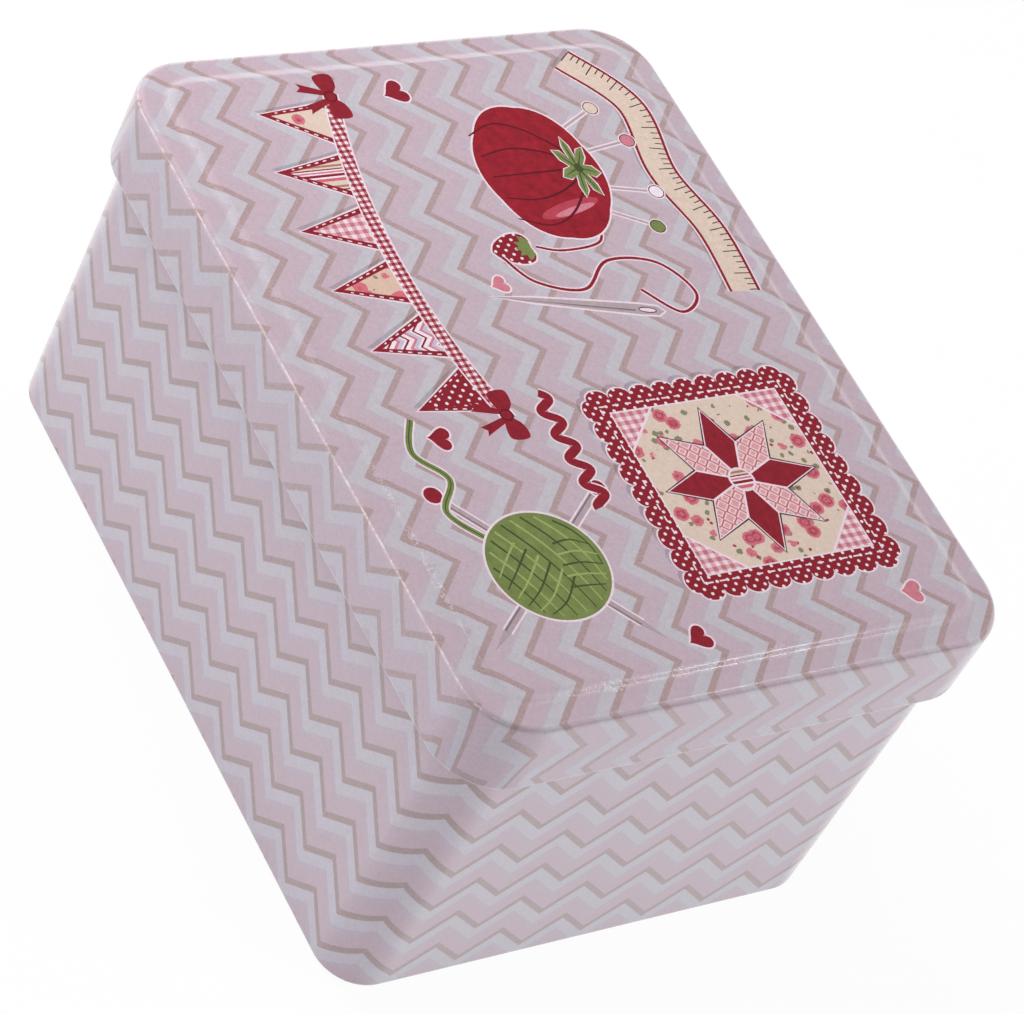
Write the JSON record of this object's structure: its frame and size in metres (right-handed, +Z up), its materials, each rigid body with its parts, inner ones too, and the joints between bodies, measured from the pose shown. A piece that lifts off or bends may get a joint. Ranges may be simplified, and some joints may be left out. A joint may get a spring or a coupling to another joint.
{
  "type": "bobbin box",
  "caption": "Rectangular printed tinplate box with round corners and a slip-on lid that lifts off, for bobbins and spools of thread.",
  "frame": {"origin": "centre of the standing foot, in the plane that the box stands on", "axes": "+X along the long sides, +Y towards the wall with the lock seam, +Z up through the lid"},
  "size_m": [0.141, 0.105, 0.0758],
  "materials": {
    "printed_lid": "tinplate printed with pink, lilac, pale grey and tan chevrons under a satin lacquer, bare tin inside",
    "printed_wall": "tinplate printed with pink, lilac, pale grey and tan chevrons under a satin lacquer, bare tin inside",
    "bare_tin": "bare tinplate with a fine rolled grain, satin"
  },
  "bodies": {
    "tin_body": {"body_wall": "printed_wall", "base_panel": "bare_tin"},
    "lid": {"lid": "printed_lid"}
  },
  "joints": [
    {"name": "lid_lift", "type": "slide", "parent": "tin_body", "child": "lid", "axis": [0, 0, 1], "range_m": [0, 0.05]}
  ]
}
